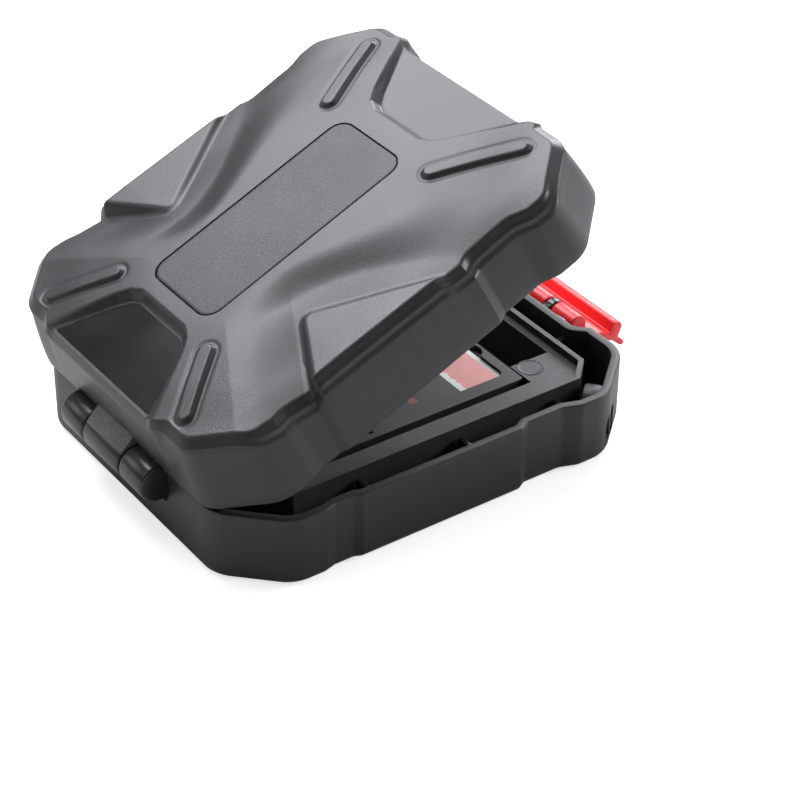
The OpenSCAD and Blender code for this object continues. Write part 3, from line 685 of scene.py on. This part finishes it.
def build_base():
    b = Build()
    b.solid(hull_rings())
    shell = b.make("base_hull", shell_plastic, "base", 35, replaces=("base_shell",))
    b = Build()
    turned_y(b, PIN_X, PIN_Z, [(-8.2, 5.2), (8.2, 5.2)], 64)
    knuckle_room = tool_mesh(b)
    b = Build()
    slot_prism(b, [(-SLOT_HALF, SLOT_LOW, 0.8), (SLOT_HALF, SLOT_LOW, 0.8),
                   (SLOT_HALF, SLOT_HIGH, 2.6), (-SLOT_HALF, SLOT_HIGH, 2.6)], -6, 5.2, 0.01)
    slot_room = tool_mesh(b)
    cut(shell, [knuckle_room, slot_room])
    # wall behind the lid's knuckle
    b = Build()
    bow = [(PIN_X + 6.6 * math.cos(t), PIN_Z + 6.6 * math.sin(t), 0.02)
           for t in np.linspace(math.radians(-69), math.radians(15.5), 18)]
    prism_y(b, bow + [(-54.7, 17.85, 0.1)], -9.3, 9.3, 0.1, 2)
    cut(b.make("base_hinge_wall", shell_plastic, "base", 35), [knuckle_room])
    # domed box that keeps the cord slot apart from the inside
    b = Build()
    dome = [(5.6 * math.cos(t), 9.9 + 5.6 * math.sin(t), 0.05) for t in np.linspace(0, math.pi, 22)]
    slot_prism(b, [(-5.6, 2.0, 0.1), (5.6, 2.0, 0.1)] + dome, 0.7, 6.8, 0.4)
    cut(b.make("base_cord_box", shell_plastic, "base", 35), [slot_room])
    # upright bar of the cord slot, outer hinge knuckles, latch lugs, stops, fins
    b = Build()
    bar = [(1.5, SLOT_LOW - 0.3), (2.9, SLOT_LOW - 0.3), (2.9, SLOT_HIGH + 0.3), (1.5, SLOT_HIGH + 0.3)]
    slot_prism(b, [(u, z, 0.2) for u, z in bar], 0.3, 1.8, 0.2)
    for side in (-1, 1):
        def across(near, far):
            return sorted((side * near, side * far))
        y0, y1 = across(8.2, 18.1)
        turned_y(b, PIN_X, PIN_Z, knuckle_profile(y0, y1, HINGE_R, 0.7))
        block(b, PIN_X, -54.2, y0 + 0.5, y1 - 0.5, PIN_Z - 4.7, PIN_Z + 1.8)
        y0, y1 = across(9.35, 11.65)
        turned_y(b, LATCH_X, LATCH_Z, knuckle_profile(y0, y1, 2.5, 0.3))
        block(b, 55.4, LATCH_X, y0 + 0.1, y1 - 0.1, 13.5, 17.9)
        block(b, 55.2, 56.25, *across(15.2, 18.6), 14.6, 17.9)
        for x in CHANNEL_FINS:
            block(b, x, x + 1.6, *across(40.1, 46.9), 1.9, 14.9)
        block(b, 49.9, 54.0, *across(20.0, 21.6), 1.9, 14.9)
    block(b, -55.8, -54.3, -17.2, 17.2, 10.0, 11.0, 0.25)
    b.make("base_fittings", barrel_plastic, "base", 35)
    for o in (knuckle_room, slot_room):
        bpy.data.objects.remove(o)


build_base()


# Latch
def build_latch():
    """Drawn shut about its pin, then swung open."""
    b = Build()
    plate = [(0.5, 2.95, 0.4), (2.7, 2.95, 0.4), (2.7, 12.6, 1.0),
             (-2.5, 12.6, 1.4), (-2.5, 9.1, 0.6), (0.5, 9.1, 0.5)]
    tab = [(0.9, 11.2, 0.3), (2.4, 10.4, 0.3), (4.5, 16.3, 0.7), (3.1, 16.9, 0.6)]
    web = [(-0.6, 0.0, 0.3), (2.5, 0.0, 0.6), (2.7, 3.6, 0.4), (0.5, 3.6, 0.4)]
    prism_y(b, plate, -22.4, 22.4, 0.5)
    prism_y(b, tab, -21.2, 21.2, 0.5)
    for y0, y1 in ((-9.0, 9.0), (-20.0, -12.0), (12.0, 20.0)):
        turned_y(b, 0, 0, knuckle_profile(y0, y1, 2.55, 0.4))
        prism_y(b, web, y0 + 0.05, y1 - 0.05, 0.4)
    p = b.points()
    c, s = math.cos(LATCH_SWUNG), math.sin(LATCH_SWUNG)
    p = np.column_stack([LATCH_X + c * p[:, 0] + s * p[:, 2], p[:, 1], LATCH_Z - s * p[:, 0] + c * p[:, 2]])
    add_mesh("latch_body", p, b.f, red_plastic, "catch", 35, replaces=("latch",))


build_latch()


# Tray details
def bead(b, outline, d, z, r=0.22, n=8):
    """Thin round bead along a closed outline."""
    rows = [flat_ring(ring(outline, d + r * math.cos(a), 5, 3), z + r * math.sin(a)) for a in circle(n)]
    b.loft(rows + [rows[0]])


TRAY = np.array([(x, y, 0.6) for x, y in (
    (49.4, -34.0), (49.4, 34.0), (43.8, 39.6), (-36.2, 39.6),
    (-41.8, 34.0), (-41.8, -34.0), (-36.2, -39.6), (43.8, -39.6))])
TRAY_LIP = 17.3
MARKS, MARK_Z, MARK_R = ((38.6, -27.5), (38.6, 27.5), (-28.6, 30.4), (-28.6, -30.4)), 15.7, 3.2


def build_tray_details():
    b = Build()
    for d in (0.24, 1.06):
        bead(b, TRAY, d, TRAY_LIP)
    b.make("tray_lip_edges", tray_plastic, "base", 80)
    b = Build()
    n = 40
    t = circle(n)
    profile = ((-0.9, -0.3), (0.1, -0.3), (0.1, 0.03), (0, 0.1), (-0.2, 0.1), (-0.3, 0.02), (-0.9, 0.02))
    for x, y in MARKS:
        b.solid([np.column_stack([x + (MARK_R + dr) * np.cos(t), y + (MARK_R + dr) * np.sin(t),
                                  np.full(n, MARK_Z + dz)]) for dr, dz in profile])
    b.make("tray_ejector_marks", tray_plastic, "base", 50)


build_tray_details()


# Card print, and a painted highlight along its near edge; its places are in metres, in the coordinates of
# the card's object
def card_material():
    m, t, b = new_material("card_plastic")
    sep = t.nodes.new("ShaderNodeSeparateXYZ")
    t.links.new(coords(t), sep.inputs[0])
    x, y = sep.outputs[0], sep.outputs[1]

    def between(sock, lo, hi, soft=0.00003):
        return multiply(t, span(t, sock, lo - soft, lo + soft), span(t, sock, hi - soft, hi + soft, 1, 0))

    def patch(x0, x1, y0, y1):
        return multiply(t, between(x, x0, x1), between(y, y0, y1))

    # the pink print ends in a ragged edge
    rag = t.nodes.new("ShaderNodeMath")
    rag.operation = "MULTIPLY_ADD"
    t.links.new(noise(t, 700, 2), rag.inputs[0])
    rag.inputs[1].default_value = 0.0016
    t.links.new(x, rag.inputs[2])
    white = patch(0.0198, 0.0318, -0.0259, -0.0017)
    # rim is a painted highlight: a thin white band along the card's near edge stands in for light caught on
    # that edge
    rim = patch(-0.0003, 0.0318, -0.0260, -0.02552)
    pink = multiply(t, between(rag.outputs[0], 0.0222, 0.05), patch(0.0, 0.0305, -0.0253, -0.0033))
    spot = patch(0.0072, 0.0094, -0.0232, -0.0208)
    cloud = noise(t, 300, 3)
    # white of the border print, also used for the painted edge highlight
    paper_and_highlight = (0.97, 0.97, 0.98)
    colour = mix_colour(t, cloud, (0.012, 0.012, 0.013), (0.022, 0.022, 0.024))
    colour = mix_colour(t, spot, colour, (0.25, 0.03, 0.03))
    colour = mix_colour(t, white, colour, paper_and_highlight)
    # paints the edge highlight in the same white as the border print
    colour = mix_colour(t, rim, colour, paper_and_highlight)
    print_red = mix_colour(t, cloud, (0.95, 0.34, 0.33), (0.98, 0.42, 0.40))
    t.links.new(mix_colour(t, pink, colour, print_red), b.inputs["Base Color"])
    t.links.new(span(t, cloud, CLOUD_LO, CLOUD_HI, 0.35, 0.45), b.inputs["Roughness"])
    return m


for node, mat in (("base_shell", shell_plastic), ("base_tray", tray_plastic),
                  ("card_holder", holder_plastic), ("sd_card", card_material()),
                  ("hinge_pin", pin_steel), ("latch_pin", pin_steel)):
    o = bpy.data.objects[node]
    o.data.materials.clear()
    o.data.materials.append(mat)


# Floor, lights and world, in metres
def softbox(name, pos, target, size_x, size_y, watts):
    light = bpy.data.lights.new(name, "AREA")
    light.shape = "RECTANGLE"
    light.size, light.size_y, light.energy, light.color = size_x, size_y, watts, (0.95, 0.97, 1.0)
    o = bpy.data.objects.new(name, light)
    bpy.context.collection.objects.link(o)
    o.location = pos
    o.rotation_euler = (Vector(target) - Vector(pos)).to_track_quat("-Z", "Y").to_euler()
    return o


def build_floor():
    half, below = 3.0, 0.00005
    me = bpy.data.meshes.new("floor")
    me.from_pydata([(-half, -half, 0), (half, -half, 0), (half, half, 0), (-half, half, 0)],
                   [], [(0, 1, 2, 3)])
    o = bpy.data.objects.new("floor", me)
    bpy.context.collection.objects.link(o)
    o.location = (0, 0, -below)
    m, t, b = new_material("floor_card")
    n = noise(t, 8, 2)
    t.links.new(mix_colour(t, n, (0.64, 0.64, 0.64), (0.66, 0.66, 0.66)), b.inputs["Base Color"])
    b.inputs["Roughness"].default_value = 0.9
    b.inputs["Specular IOR Level"].default_value = 0.1
    lp = t.nodes.new("ShaderNodeLightPath")
    t.links.new(span(t, lp.outputs["Is Camera Ray"], 0, 1, 0.0, 0.70), b.inputs["Emission Strength"])
    b.inputs["Emission Color"].default_value = (1, 1, 1, 1)
    me.materials.append(m)
    return o


CASE_MID, LATCH_END = (0, 0, 0.03), (0.03, 0, 0.02)
floor = build_floor()
lights = [softbox(*row) for row in (
    ("softbox_back", (0.17, 0.86, 0.98), CASE_MID, 0.62, 0.8, 13),
    ("softbox_roof", (-0.25, 0.70, 1.15), CASE_MID, 0.4, 0.34, 5.5),
    ("softbox_left", (-1.0, 0.25, 0.8), CASE_MID, 0.4, 0.5, 1.6),
    ("softbox_top", (-0.15, 0.2, 1.25), CASE_MID, 0.9, 0.6, 6),
    ("softbox_far", (-0.78, 0.96, 0.54), CASE_MID, 0.4, 0.4, 1.3),
    ("softbox_right", (1.06, 0.68, 0.62), LATCH_END, 0.5, 0.6, 12),
    ("softbox_side", (0.95, -0.45, 0.42), LATCH_END, 0.4, 0.3, 7))]


def build_world():
    """White behind the case, dim for every other ray."""
    world = bpy.data.worlds.new("world")
    bpy.context.scene.world = world
    world.use_nodes = True
    tree = world.node_tree
    bg = tree.nodes["Background"]
    bg.inputs["Color"].default_value = (1, 1, 1, 1)
    path = tree.nodes.new("ShaderNodeLightPath")
    tree.links.new(span(tree, path.outputs["Is Camera Ray"], 0, 1, 0.16, 1.0), bg.inputs["Strength"])


build_world()
bpy.context.scene.view_settings.view_transform = "Standard"
